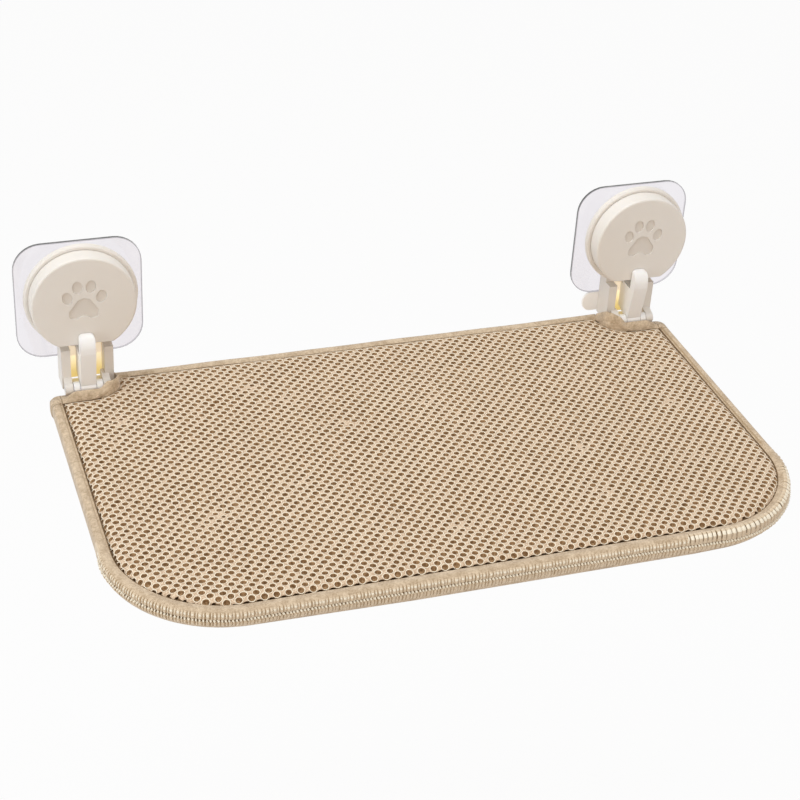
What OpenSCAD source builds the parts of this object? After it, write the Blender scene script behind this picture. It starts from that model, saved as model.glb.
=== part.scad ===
// Window mounted cat perch: a padded mesh bed on a tube frame that folds up on two suction mounts.
// Millimetres. The origin is on the window pane, midway between the two suction pads' centres.
// +X to the viewer's right, +Y into the window, +Z up. The bed is drawn level, as it is used.

/* [Overall] */

// Distance between the centres of the two suction pads
mount_spacing = 470; // [400:1:560]
// Width of the bed over its side edges
bed_w = 532; // [480:1:640]
// How far the bed's front edge stands out from the window
bed_reach = 324; // [240:1:400]
// Thickness of the bed at its bound edge
bed_t = 16; // [13:0.5:22]
// Depth of the bed's top face below the pads' centres
bed_drop = 70.4; // [68:0.2:76]
// Radius of the bed's two front corners
bed_corner_r = 88; // [30:1:120]
// Gap between the bed's back edge and the window
bed_back_gap = 3; // [2:0.5:6]

/* [Suction pads] */

// Side of the square clear pad
pad_w = 100; // [90:1:120]
// Radius of the pad's corners
pad_corner_r = 22; // [10:1:35]
// Thickness of the pad's flat rim
pad_t = 2.2; // [1.6:0.1:3]
// Radius of the hollow that is drawn off the window
dome_r = 34; // [24:1:36]
// Height of that hollow when the knob is locked
dome_h = 1.2; // [0.6:0.1:1.6]
// Radius of the moulded stud that grips the puller
stud_r = 9; // [8:0.5:12]
// How far the stud's front end stands from the window
stud_reach = 9.4; // [8.6:0.1:10]

/* [Brackets] */

// Height of the round housing's centre above the pad's centre
hub_rise = 7.4; // [4:0.2:10]
// Radius of the housing's rim
base_r = 44.5; // [42:0.5:50]
// Radius of the housing where it sits on the pad
base_foot_r = 38; // [36.5:0.5:42]
// Distance of the housing's front face from the window
base_depth = 14.3; // [13:0.1:17]
// Wall of the housing
base_wall = 2.4; // [1.8:0.1:3.2]
// Radius of the spigot that the knob turns on
spigot_r = 11; // [9.5:0.1:13]
// Height of the spigot
spigot_h = 5.7; // [4.5:0.1:7]
// Width over the two legs
legs_w = 41; // [38:0.5:44]
// How far the legs stand off centre towards the middle of the bed
legs_shift = 1.4; // [0:0.1:4]
// Thickness of one leg
leg_t = 7.2; // [5.5:0.1:7.4]
// Distance of the legs' front faces from the window
leg_reach = 22.3; // [18:0.1:22.5]
// Gap between the legs' lower ends and the bed's top face
leg_gap = 1.4; // [1.2:0.1:1.9]
// How far the right foot's flange stands out past the inner leg
flange_w = 14; // [8:0.5:18]

/* [Knobs] */

// Radius of the round knob
knob_r = 41; // [34:0.5:42]
// Distance of the knob's front face from the window
knob_reach = 28.3; // [26:0.1:30]
// Wall of the knob
knob_wall = 2.6; // [2:0.1:3]
// Distance of the flat below the knob's centre
knob_flat_drop = 34; // [28:0.1:38]
// Rounding of the knob's front edge
knob_edge_r = 1.8; // [1:0.1:4]
// Depth of the sunk paw print
paw_depth = 1.2; // [0.4:0.1:1.4]
// Width of one toe in the paw print
toe_w = 7.9; // [6:0.1:9]

/* [Straps] */

// Width of the strap between the legs
strap_w = 12.2; // [11:0.1:14]
// Depth of the strap's top end below the pad's centre
strap_top_drop = 16.6; // [10:0.2:20]
// Distance of the strap's front face from the window
strap_reach = 36.9; // [35:0.1:38]
// Distance of the strap's back edge from the window
strap_back = 11; // [10:0.1:13]
// Radius of the strap's rounded top corners
strap_corner_r = 3.6; // [1:0.1:5]

/* [Hinges] */

// Distance of the fold axis from the window
axis_reach = 27.5; // [27.3:0.1:29]
// Height of the fold axis above the bed's top face
axis_rise = 4.4; // [4:0.1:5.4]
// Radius of the hinge knuckles
knuckle_r = 4.8; // [4.2:0.1:4.8]
// Width of one knuckle of the bed's arm
arm_knuckle_w = 5; // [4:0.1:5.4]
// Side clearance between knuckles
knuckle_gap = 0.4; // [0.3:0.05:0.6]
// Radius of the steel hinge pin
pin_r = 2; // [1.5:0.1:2.4]
// Radial clearance of running fits
run_play = 0.06; // [0.03:0.01:0.09]

/* [Bed] */

// Width that the edge tape laps over the bed's faces
tape_lap = 11; // [10:0.5:14]
// Thickness of the edge tape
tape_t = 1.6; // [1.2:0.1:2]
// How far the tape in the corner notches lies below the bed's top
notch_dip = 1.5; // [1.4:0.1:2]
// Width of the notch from the mount's centre towards the middle of the bed
notch_side = 18.5; // [18:0.1:24]
// Distance of the notch's front edge from the window
notch_reach = 24.5; // [24.3:0.1:26]
// Radius of the curve in the notch
notch_r = 16; // [6:1:18]
// Thickness of the knitted mesh on top
mesh_t = 2.8; // [2:0.1:4]
// Thickness of the cloth underneath
cloth_t = 1.4; // [1:0.1:2]
// Outside radius of the steel frame tube
tube_r = 3.9; // [3.4:0.1:4]
// Wall of the steel frame tube
tube_wall = 1; // [0.8:0.1:1.5]

/* [Hidden] */

$fn = 64;

cream = [0.93, 0.90, 0.84];
white = [0.95, 0.94, 0.92];
steel = [0.72, 0.73, 0.75];
clear = [0.90, 0.90, 0.94, 0.35];
amber = [0.93, 0.80, 0.45];
beige = [0.86, 0.76, 0.60];
tan = [0.72, 0.60, 0.44];
foam_grey = [0.80, 0.79, 0.76];

eps = pad_t * 0.05;
mount_x = mount_spacing / 2;

// pad, puller and housing, as depths in front of the window
head_r = stud_r * 0.64;
shaft_r = stud_r * 0.33;
pocket_floor = stud_reach * 0.415;
pocket_front = stud_reach * 0.872;
head_t = stud_reach * 0.149;
head_front = pocket_front - run_play;
base_inner = base_depth - base_wall;
spigot_front = base_depth + spigot_h;
spigot_bore_r = spigot_r * 0.73;
cross_pin_r = shaft_r * 0.4;
cross_pin_reach = spigot_front - cross_pin_r * 1.5;
puller_front = cross_pin_reach + shaft_r * 0.85;

// knob
knob_back = base_depth + base_wall / 4;
knob_plate = knob_reach - knob_wall - eps * 2;
washer_t = (knob_back - base_depth) * 0.8;
cam_front = cross_pin_reach + cross_pin_r + knob_wall * 0.11;
toe_h = toe_w * 1.36;

// legs: x is measured from the mount's centre, away from the middle of the bed
leg_drop = bed_drop - leg_gap;
axis_drop = bed_drop - axis_rise;
leg_out_1 = legs_w / 2 - legs_shift;
leg_out_0 = leg_out_1 - leg_t;
leg_in_1 = -legs_w / 2 - legs_shift;
leg_in_0 = leg_in_1 + leg_t;
leg_back = pad_t * 1.14;
leg_top_drop = knob_r - hub_rise + leg_t / 6;
leg_root_drop = base_foot_r - base_wall * 2 - hub_rise + leg_t / 6;
wall_front = strap_back;
wall_back = strap_back - base_wall;
wall_drop = (pad_w / 2) * 0.92;

// strap
strap_half = strap_w / 2;
finger_back = knob_reach + base_wall / 5;
finger_curve_h = strap_w * 0.95;
rib_top_drop = leg_top_drop;
rib_drop = axis_drop - knuckle_r * 1.3;
screw_r = strap_w * 0.112;
screw_len = (strap_reach - strap_back) * 0.4;
rim_drop = base_r - hub_rise;
screw_drop = (rim_drop + wall_drop) / 2;
screw_spots = [-strap_w * 0.255, strap_w * 0.255];

// hinge knuckles, as distances from the strap's middle
arm_k0 = strap_half + knuckle_gap;
arm_k1 = arm_k0 + arm_knuckle_w;
ear_k0 = arm_k1 + knuckle_gap;
ear_out_k1 = leg_out_1 - leg_t / 8;
ear_in_k1 = -leg_in_0 + leg_t * 0.44;
pin_bore_r = pin_r + run_play;

// bumper
bumper_top_drop = wall_drop + leg_t * 0.14;
bumper_drop = leg_drop - leg_t * 0.14;
bumper_reach = strap_back * 0.73;
flange_t = pad_t * 1.05;
flange_top_drop = pad_w / 2 + leg_t * 0.07;
flange_in = leg_in_0 - leg_t * 0.4;
flange_out = leg_out_0 + leg_t * 0.4;
flange_r = (bumper_drop - flange_top_drop) * 0.45;

// bed layers, as depths below the pads' centres
bed_floor = bed_drop + bed_t;
mesh_drop = bed_drop + tape_t / 8;
foam_drop = mesh_drop + mesh_t;
cloth_drop = bed_floor - cloth_t;
notch_drop = bed_drop + notch_dip;
tube_drop = bed_drop + bed_t / 2;
tube_inset = (tape_t + tape_lap) / 2;
fill_inset = tape_lap + tape_t / 8;
split_x = mount_x - notch_side - tape_lap * 0.75;
split_y = notch_reach + tape_lap * 2;
tab_r = tape_lap * 0.73;
back_corner_r = tape_lap * 0.45;
bar_y = bed_back_gap + tube_inset;

// saddle, tongue and socket of the hinge arm
saddle_top = leg_drop + knuckle_gap * 0.75;
saddle_floor = bed_floor - cloth_t * 1.5;
saddle_front = leg_reach * 0.9;
saddle_back = leg_reach * 0.36;
saddle_out = strap_w * 1.23;
web_front = notch_reach - knuckle_gap * 5.5;
tongue_t = bed_t / 4;
tongue_drop = bed_floor - bed_t * 0.21;
tongue_end = split_y + tape_lap * 1.6;
tongue_half = arm_k1;
boss_front = tongue_end + tape_lap * 0.5;
boss_back = split_y + tape_lap * 0.15;
boss_out = bed_w / 2 - tape_t * 1.15 - mount_x;
boss_in = bed_w / 2 - tube_inset - tube_r * 1.75 - mount_x;
boss_top = foam_drop + tape_t / 8;
boss_floor = bed_floor - tape_t * 1.15;
lug_in = -notch_side + tape_t * 1.15;
lug_out = lug_in + tape_lap * 0.6;
lug_back = bed_back_gap + tape_t * 0.4;
lug_front = bar_y + tube_r * 1.45;
bar_end = mount_x + lug_out - tape_lap * 0.18;
sleeve_back = boss_front + tape_t * 0.3;

// Puts a mount's piece on its side: +x then points away from the middle of the bed.
module at_mount(side) {
    translate([side * mount_x, 0, 0])
        mirror([side < 0 ? 1 : 0, 0, 0])
            children();
}

// Turns a shape drawn flat so that its height stands out from the window and its y points up.
module facing(reach = 0) {
    translate([0, -reach, 0])
        rotate([90, 0, 0])
            children();
}

// Same, on the axis of the round housing.
module on_hub(reach = 0) {
    translate([0, 0, hub_rise])
        facing(reach)
            children();
}

// Extrudes a side view, given as points [reach, drop], from x0 to x1.
module side_slab(points, x0, x1) {
    translate([x0, 0, 0])
        rotate([90, 0, 90])
            linear_extrude(x1 - x0)
                polygon([for (p = points) [-p[0], -p[1]]]);
}

// Round bar along X.
module bar_x(x0, x1, r, reach, drop) {
    translate([x0, -reach, -drop])
        rotate([0, 90, 0])
            cylinder(h = x1 - x0, r = r);
}

// Block between two corners given as [x, reach, drop].
module block(a, b) {
    translate([min(a[0], b[0]), -max(a[1], b[1]), -max(a[2], b[2])])
        cube([abs(a[0] - b[0]), abs(a[1] - b[1]), abs(a[2] - b[2])]);
}

module rounded_square(w, h, r) {
    hull()
        for (x = [-1, 1], y = [-1, 1])
            translate([x * (w / 2 - r), y * (h / 2 - r)])
                circle(r = r, $fn = 32);
}

function arc(cx, cy, r, a0, a1, n) =
    [for (i = [0:n]) [cx + r * cos(a0 + (a1 - a0) * i / n), cy + r * sin(a0 + (a1 - a0) * i / n)]];

function flip(points) = [for (i = [len(points) - 1:-1:0]) [-points[i][0], points[i][1]]];

// Right half of the bed's plan, set in from its edge, from the back round to the front.
function half_plan(inset) =
    let (
        side = bed_w / 2 - inset,
        front = -bed_reach + inset,
        back = -bed_back_gap - inset,
        notch_x = mount_x - notch_side - inset,
        notch_y = -notch_reach - inset,
        hollow_r = notch_r + inset,
        corner_r = bed_corner_r - inset,
        end_r = max(tab_r - inset, tab_r / 10),
        back_r = max(back_corner_r - inset, back_corner_r / 10),
        turn = asin(max(0, notch_y + hollow_r - back + back_r) / hollow_r),
        back_x = notch_x + hollow_r * (1 - cos(turn)) - back_r
    )
    concat(
        arc(back_x, back - back_r, back_r, 90, 0, 5),
        arc(notch_x + hollow_r, notch_y + hollow_r, hollow_r, 180 + turn, 270, 10),
        arc(side - end_r, notch_y - end_r, end_r, 90, 0, 6),
        arc(side - corner_r, front + corner_r, corner_r, 0, -90, 20)
    );

module bed_plan(inset) {
    polygon(concat(half_plan(inset), flip(half_plan(inset))));
}

module layer(top, bottom) {
    translate([0, 0, -bottom])
        linear_extrude(bottom - top)
            children();
}

// Tape folded over the bed's edge: two laps joined by a wall, kept inside a region of the plan.
module folded_tape(top) {
    layer(top, top + tape_t)
        intersection() {
            difference() {
                bed_plan(0);
                bed_plan(tape_lap);
            }
            children();
        }
    layer(top + tape_t, bed_floor - tape_t)
        intersection() {
            difference() {
                bed_plan(0);
                bed_plan(tape_t);
            }
            children();
        }
    layer(bed_floor - tape_t, bed_floor)
        intersection() {
            difference() {
                bed_plan(0);
                bed_plan(tape_lap);
            }
            children();
        }
}

module front_region() {
    translate([-bed_w, -bed_reach - bed_t])
        square([bed_w * 2, bed_reach + bed_t - split_y]);
}

module back_region() {
    translate([-split_x, -split_y])
        square([split_x * 2, split_y]);
}

module notch_region(side) {
    mirror([side < 0 ? 1 : 0, 0, 0])
        translate([split_x, -split_y])
            square([bed_w, split_y]);
}

// Clear square pad: flat rim, drawn-off dome and the stud that holds the puller's head.
module suction_pad(side) {
    color(clear)
        at_mount(side)
            difference() {
                union() {
                    facing()
                        linear_extrude(pad_t)
                            rounded_square(pad_w, pad_w, pad_corner_r);
                    on_hub(pad_t)
                        cylinder(h = dome_h, r1 = dome_r, r2 = stud_r * 1.3);
                    on_hub(pad_t)
                        cylinder(h = stud_reach - pad_t, r = stud_r);
                }
                on_hub(-eps)
                    cylinder(h = dome_h + eps, r1 = dome_r, r2 = stud_r * 1.3);
                on_hub(pocket_floor)
                    cylinder(h = pocket_front - pocket_floor, r = head_r + run_play * 4);
                on_hub(pocket_front - eps)
                    cylinder(h = stud_reach - pocket_front + eps * 2, r = shaft_r + run_play * 2);
            }
}

// Moulded bracket: round housing, spigot for the knob, two legs, their ears and the wall between them.
module bracket(side) {
    color(cream)
        at_mount(side)
            difference() {
                union() {
                    on_hub()
                        rotate_extrude()
                            polygon([
                                [0, base_inner],
                                [base_foot_r - base_wall * 2, base_inner],
                                [base_foot_r - base_wall, pad_t],
                                [base_foot_r, pad_t],
                                [base_foot_r + base_wall, base_depth * 0.45],
                                [base_r, base_depth * 0.72],
                                [base_r, base_depth - base_wall * 0.5],
                                [base_r - base_wall * 0.6, base_depth],
                                [0, base_depth]
                            ]);
                    on_hub(base_depth - eps)
                        cylinder(h = spigot_h + eps, r = spigot_r);
                    for (leg = [[leg_in_1, leg_in_0], [leg_out_0, leg_out_1]])
                        side_slab([
                            [leg_back, leg_root_drop],
                            [base_depth, leg_root_drop],
                            [base_depth, leg_top_drop],
                            [leg_reach, leg_top_drop],
                            [leg_reach, leg_drop],
                            [leg_back, leg_drop]
                        ], leg[0], leg[1]);
                    side_slab([
                        [wall_back, leg_top_drop - base_wall],
                        [wall_front, leg_top_drop - base_wall],
                        [wall_front, wall_drop],
                        [wall_back, wall_drop]
                    ], leg_in_0 - eps, leg_out_0 + eps);
                    for (ear = [[-ear_in_k1, -ear_k0], [ear_k0, ear_out_k1]]) {
                        bar_x(ear[0], ear[1], knuckle_r, axis_reach, axis_drop);
                        side_slab([
                            [axis_reach, axis_drop - knuckle_r],
                            [leg_reach - eps, axis_drop - knuckle_r * 1.5],
                            [leg_reach - eps, leg_drop],
                            [axis_reach, axis_drop + knuckle_r]
                        ], ear[0], ear[1]);
                    }
                    side_slab([
                        [leg_reach - leg_t, axis_drop - knuckle_r * 1.5],
                        [leg_reach, axis_drop - knuckle_r * 1.5],
                        [leg_reach, leg_drop],
                        [leg_reach - leg_t, leg_drop]
                    ], leg_in_0 - eps, -ear_k0);
                }
                on_hub(base_inner - eps)
                    cylinder(h = spigot_front - base_inner + eps * 2, r = shaft_r + run_play);
                on_hub(base_depth)
                    cylinder(h = spigot_h + eps, r = spigot_bore_r);
                bar_x(leg_in_1, leg_out_1, pin_bore_r, axis_reach, axis_drop);
                for (x = screw_spots)
                    translate([x, 0, -screw_drop])
                        facing(wall_back - eps)
                            cylinder(h = base_wall + eps * 2, r = screw_r * 1.15);
            }
}

// Thin slip ring between the knob and the housing.
module glide_washer(side) {
    color(white)
        at_mount(side)
            on_hub(base_depth)
                difference() {
                    cylinder(h = washer_t, r = spigot_r * 1.6);
                    translate([0, 0, -eps])
                        cylinder(h = washer_t + eps * 2, r = spigot_r + run_play * 4);
                }
}

module paw_print() {
    for (toe = [[-1.63, 0.95, 12], [-0.62, 2.04, 4], [0.68, 2.02, -6], [1.67, 0.86, -14]])
        translate([toe[0] * toe_w, toe[1] * toe_w])
            rotate(toe[2])
                scale([toe_w, toe_h])
                    circle(d = 1, $fn = 28);
    offset(r = toe_w * 0.3, $fn = 24)
        polygon([
            for (p = [[0, 0.52], [0.38, 0.4], [0.62, 0], [1.08, -0.66], [1.05, -1.08], [0.72, -1.15],
                      [0.35, -0.9], [-0.05, -0.82], [-0.5, -0.9], [-0.85, -1.12], [-1.2, -1.05],
                      [-1.22, -0.66], [-0.72, 0], [-0.42, 0.4]])
                [p[0] * toe_w, p[1] * toe_w]
        ]);
}

// Area of the knob above its flat, for a given radius.
module knob_disc(r, flat_drop) {
    intersection() {
        circle(r = r);
        translate([-knob_r, -flat_drop])
            square([knob_r * 2, knob_r * 2]);
    }
}

// Round locking knob with a flat, a sunk paw print and a bearing ring behind its face.
module knob(side) {
    color(cream)
        at_mount(side)
            difference() {
                intersection() {
                    on_hub()
                        rotate_extrude($fn = 96)
                            polygon(concat(
                                [[0, knob_back], [knob_r, knob_back]],
                                arc(knob_r - knob_edge_r, knob_reach - knob_edge_r, knob_edge_r, 0, 90, 6),
                                [[0, knob_reach]]
                            ));
                    on_hub(knob_back - eps)
                        linear_extrude(knob_reach)
                            knob_disc(knob_r * 1.1, knob_flat_drop);
                }
                difference() {
                    on_hub(knob_back - eps)
                        linear_extrude(knob_plate - knob_back + eps)
                            knob_disc(knob_r - knob_wall, knob_flat_drop - knob_wall);
                    on_hub(knob_back + eps * 2)
                        cylinder(h = knob_reach - knob_back, r = spigot_r * 1.35);
                }
                on_hub(knob_back - eps)
                    cylinder(h = spigot_front - knob_back + eps * 5, r = spigot_r + run_play);
                difference() {
                    on_hub(spigot_front)
                        cylinder(h = knob_plate - spigot_front, r = spigot_bore_r * 1.2);
                    on_hub(cam_front)
                        cylinder(h = knob_reach - cam_front, r = spigot_bore_r * 0.92);
                }
                on_hub(spigot_front - eps)
                    cylinder(h = puller_front - spigot_front + shaft_r * 0.4, r = shaft_r * 1.15);
                on_hub(knob_reach - paw_depth)
                    mirror([side < 0 ? 1 : 0, 0, 0])
                        linear_extrude(paw_depth + eps)
                            paw_print();
            }
}

// Puller: its head sits in the pad's stud and its shaft runs through the housing.
module puller(side) {
    color(white)
        at_mount(side)
            difference() {
                union() {
                    on_hub(head_front - head_t)
                        cylinder(h = head_t, r = head_r);
                    on_hub(head_front - eps)
                        cylinder(h = puller_front - head_front + eps, r = shaft_r);
                }
                translate([-shaft_r * 2, -cross_pin_reach, hub_rise])
                    rotate([0, 90, 0])
                        cylinder(h = shaft_r * 4, r = cross_pin_r);
            }
}

// Steel pin across the puller that the knob's cam lifts.
module cross_pin(side) {
    color(steel)
        at_mount(side)
            translate([-spigot_bore_r * 0.93, -cross_pin_reach, hub_rise])
                rotate([0, 90, 0])
                    cylinder(h = spigot_bore_r * 1.86, r = cross_pin_r - run_play / 6);
}

// Strap: a deep rib screwed between the legs, a middle knuckle, and a finger over the knob's face.
module strap(side) {
    color(white)
        at_mount(side)
            difference() {
                union() {
                    intersection() {
                        side_slab(concat(
                            [
                                [finger_back, rib_top_drop],
                                [finger_back, strap_top_drop]
                            ],
                            [for (a = [74:-10.5:0])
                                [finger_back + (strap_reach - finger_back) * cos(a),
                                 strap_top_drop + finger_curve_h * (1 - sin(a))]],
                            [
                                [strap_reach, strap_top_drop + finger_curve_h * 1.3],
                                [axis_reach + knuckle_r * 0.86, axis_drop - knuckle_r * 0.8],
                                [axis_reach, axis_drop],
                                [axis_reach - knuckle_r * 0.8, axis_drop - knuckle_r * 0.6],
                                [strap_back, rib_drop],
                                [strap_back, rim_drop + run_play * 4],
                                [base_depth + run_play * 4, rim_drop + run_play * 4],
                                [base_depth + run_play * 4, rib_top_drop]
                            ]
                        ), -strap_half, strap_half);
                        facing()
                            linear_extrude(strap_reach * 1.5)
                                translate([0, -strap_top_drop - axis_drop / 2])
                                    rounded_square(strap_w, axis_drop, strap_corner_r);
                    }
                    bar_x(-strap_half, strap_half, knuckle_r, axis_reach, axis_drop);
                }
                bar_x(-strap_w, strap_w, pin_bore_r, axis_reach, axis_drop);
                for (x = screw_spots)
                    translate([x, 0, -screw_drop])
                        facing(strap_back - eps)
                            cylinder(h = screw_len + screw_r, r = screw_r + run_play / 2);
            }
}

// Two screws that hold the strap to the bracket's wall, driven from behind.
module strap_screws(side) {
    color(steel)
        at_mount(side)
            for (x = screw_spots)
                translate([x, 0, -screw_drop])
                    difference() {
                        union() {
                            facing(wall_back)
                                cylinder(h = base_wall + screw_len, r = screw_r);
                            facing(wall_back - screw_r)
                                cylinder(h = screw_r, r1 = screw_r * 1.5, r2 = screw_r * 1.9);
                        }
                        for (turn = [0, 90])
                            facing(wall_back - screw_r - eps)
                                rotate(turn)
                                    translate([-screw_r, -screw_r / 6, 0])
                                        cube([screw_r * 2, screw_r / 3, screw_r * 0.6]);
                    }
}

// Soft foot between the legs that bears on the window below the pad. The right one has a wide flange.
module bumper(side) {
    color(amber)
        at_mount(side) {
            block([leg_in_0 + run_play, flange_t - eps, bumper_top_drop],
                  [leg_out_0 - run_play, bumper_reach, bumper_drop]);
            let (inner = side > 0 ? leg_in_1 - flange_w : flange_in)
                translate([(inner + flange_out) / 2, 0, -(flange_top_drop + bumper_drop) / 2])
                    facing()
                        linear_extrude(flange_t)
                            rounded_square(flange_out - inner, bumper_drop - flange_top_drop, flange_r);
        }
}

// Steel pin pressed into the ears, through the arm's knuckles and the strap's knuckle.
module hinge_pin(side) {
    color(steel)
        at_mount(side)
            bar_x(-ear_in_k1, ear_out_k1, pin_r, axis_reach, axis_drop);
}

// White hinge arm: two knuckles, a saddle under the legs, a tongue into the bed and the tube socket.
module hinge_arm(side) {
    color(white)
        at_mount(side)
            difference() {
                union() {
                    for (k = [[-arm_k1, -arm_k0], [arm_k0, arm_k1]]) {
                        bar_x(k[0], k[1], knuckle_r, axis_reach, axis_drop);
                        side_slab([
                            [axis_reach, axis_drop],
                            [axis_reach - knuckle_r + run_play, axis_drop],
                            [axis_reach - knuckle_r + run_play, saddle_top],
                            [saddle_front - eps, saddle_top],
                            [saddle_front - eps, tongue_drop],
                            [web_front, tongue_drop],
                            [web_front, notch_drop - knuckle_gap],
                            [axis_reach, axis_drop + knuckle_r - run_play]
                        ], k[0], k[1]);
                    }
                    layer(saddle_top, saddle_floor)
                        polygon([
                            [saddle_out, -saddle_front],
                            [saddle_out, -saddle_back],
                            [-notch_side * 0.95, -saddle_back],
                            [-notch_side * 0.95, -saddle_front * 0.6],
                            [-notch_side * 0.7, -saddle_front]
                        ]);
                    block([lug_in, lug_back, bed_drop + tape_t], [lug_out, lug_front, saddle_floor]);
                    block([-tongue_half, saddle_front - eps, tongue_drop - tongue_t],
                          [tongue_half, tongue_end, tongue_drop]);
                    block([-tongue_half, boss_back, tongue_drop - tongue_t],
                          [boss_in + eps, tongue_end, tongue_drop]);
                    block([boss_in, boss_back, boss_top], [boss_out, boss_front, boss_floor]);
                }
                bar_x(-legs_w, legs_w, pin_bore_r, axis_reach, axis_drop);
                bar_x(-notch_side, bar_end - mount_x + eps, tube_r + run_play / 2, bar_y, tube_drop);
                translate([bed_w / 2 - tube_inset - mount_x, -boss_back - tape_t, -tube_drop])
                    rotate([90, 0, 0])
                        cylinder(h = boss_front, r = tube_r + run_play / 2);
            }
}

// Round run along the frame's line: down both sides, round the corners and across the front.
module tube_run(r, extra = 0) {
    bend_r = bed_corner_r - tube_inset;
    side_x = bed_w / 2 - tube_inset;
    front_y = bed_reach - tube_inset;
    run_back = boss_back + tape_t * 1.5 - extra;
    translate([0, 0, -tube_drop]) {
        for (side = [-1, 1]) {
            translate([side * side_x, -run_back, 0])
                rotate([90, 0, 0])
                    cylinder(h = front_y - bend_r - run_back, r = r);
            translate([side * (side_x - bend_r), -front_y + bend_r, 0])
                rotate([0, 0, side > 0 ? -90 : 180])
                    rotate_extrude(angle = 90)
                        translate([bend_r, 0])
                            circle(r = r);
        }
        translate([-(side_x - bend_r), -front_y, 0])
            rotate([0, 90, 0])
                cylinder(h = (side_x - bend_r) * 2, r = r);
    }
}

// Steel tube bent round the bed's sides and front.
module frame_tube() {
    color(steel)
        difference() {
            tube_run(tube_r);
            tube_run(tube_r - tube_wall, eps);
        }
}

// Straight steel tube along the back, plugged into both arms.
module back_bar() {
    color(steel)
        difference() {
            bar_x(-bar_end, bar_end, tube_r, bar_y, tube_drop);
            bar_x(-bar_end - eps, bar_end + eps, tube_r - tube_wall, bar_y, tube_drop);
        }
}

// Foam sleeve round the tube, which fills the folded edge tape.
module edge_padding() {
    color(foam_grey)
        difference() {
            layer(bed_drop + tape_t + run_play * 2, bed_floor - tape_t - run_play * 2)
                intersection() {
                    difference() {
                        bed_plan(tape_t + run_play * 2);
                        bed_plan(tape_lap);
                    }
                    translate([-bed_w, -bed_reach])
                        square([bed_w * 2, bed_reach - sleeve_back]);
                }
            tube_run(tube_r + run_play * 2, tape_lap);
        }
}

// Clears the arms' tongues and sockets out of the foam.
module arm_space() {
    for (side = [-1, 1])
        at_mount(side) {
            block([-tongue_half - tape_t, 0, tongue_drop - tongue_t - tape_t],
                  [boss_out, tongue_end + tape_t, bed_floor]);
            block([boss_in - tape_t, 0, bed_drop],
                  [boss_out + tape_t, boss_front + tape_t, bed_floor]);
        }
}

// Foam slab inside the frame.
module foam_core() {
    color(foam_grey)
        difference() {
            layer(foam_drop, cloth_drop)
                bed_plan(fill_inset);
            arm_space();
        }
}

// Knitted spacer mesh on top of the foam.
module mesh_top() {
    color(beige)
        layer(mesh_drop, foam_drop)
            bed_plan(fill_inset);
}

// Cloth underneath.
module base_cloth() {
    color(tan)
        layer(cloth_drop, bed_floor)
            bed_plan(fill_inset);
}

// Woven tape folded over the two sides and the front.
module edge_binding() {
    color(tan)
        folded_tape(bed_drop)
            front_region();
}

// Flat tape along the back edge.
module back_binding() {
    color(tan)
        folded_tape(bed_drop)
            back_region();
}

// Tape round a corner notch, opened where the arm and the back bar pass through it.
module notch_binding(side) {
    color(tan)
        difference() {
            folded_tape(notch_drop)
                notch_region(side);
            at_mount(side) {
                block([-tongue_half - knuckle_gap, 0, tongue_drop - tongue_t - knuckle_gap],
                      [tongue_half + knuckle_gap, tongue_end, tongue_drop + knuckle_gap]);
                bar_x(-notch_side * 2, -notch_side + tape_lap, tube_r + run_play * 3, bar_y, tube_drop);
            }
        }
}

suction_pad(-1);  // pad_left
suction_pad(1);  // pad_right
bracket(-1);  // bracket_left
bracket(1);  // bracket_right
glide_washer(-1);  // glide_washer_left
glide_washer(1);  // glide_washer_right
knob(-1);  // knob_left
knob(1);  // knob_right
puller(-1);  // puller_left
puller(1);  // puller_right
cross_pin(-1);  // cross_pin_left
cross_pin(1);  // cross_pin_right
strap(-1);  // strap_left
strap(1);  // strap_right
strap_screws(-1);  // strap_screws_left
strap_screws(1);  // strap_screws_right
bumper(-1);  // bumper_left
bumper(1);  // bumper_right
hinge_pin(-1);  // hinge_pin_left
hinge_pin(1);  // hinge_pin_right
hinge_arm(-1);  // hinge_arm_left
hinge_arm(1);  // hinge_arm_right
frame_tube();
back_bar();
edge_padding();
foam_core();
mesh_top();
base_cloth();
edge_binding();
back_binding();
notch_binding(-1);  // notch_binding_left
notch_binding(1);  // notch_binding_right
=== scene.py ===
import math

import bmesh
import bpy
import numpy as np
from mathutils import Matrix, Vector


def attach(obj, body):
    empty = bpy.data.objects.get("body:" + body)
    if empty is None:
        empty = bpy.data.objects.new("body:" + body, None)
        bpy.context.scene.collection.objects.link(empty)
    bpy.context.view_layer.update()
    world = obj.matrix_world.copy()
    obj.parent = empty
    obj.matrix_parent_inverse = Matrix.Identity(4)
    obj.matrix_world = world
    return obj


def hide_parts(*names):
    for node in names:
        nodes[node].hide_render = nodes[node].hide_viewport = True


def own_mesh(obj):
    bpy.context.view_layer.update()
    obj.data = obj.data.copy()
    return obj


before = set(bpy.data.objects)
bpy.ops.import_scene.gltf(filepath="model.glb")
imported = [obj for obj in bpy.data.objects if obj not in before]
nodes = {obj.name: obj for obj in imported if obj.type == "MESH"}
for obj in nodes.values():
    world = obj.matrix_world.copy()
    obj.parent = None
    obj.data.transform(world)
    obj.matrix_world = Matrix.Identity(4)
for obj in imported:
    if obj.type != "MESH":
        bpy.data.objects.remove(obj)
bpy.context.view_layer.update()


# The two suction pads. Each is a square of soft clear vinyl about 2 mm thick with rounded corners,
# moulded in one piece with the stud that the lock draws back. Its rounded rim and cut edge are painted
# grey as shade and given a painted glow.

MM = 0.001
# Middle of a pad, half the straight part of its side, and the radius of its corners, in mm.
PAD_X = 235.0
PAD_STRAIGHT = 28.0
PAD_CORNER_R = 22.0


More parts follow.
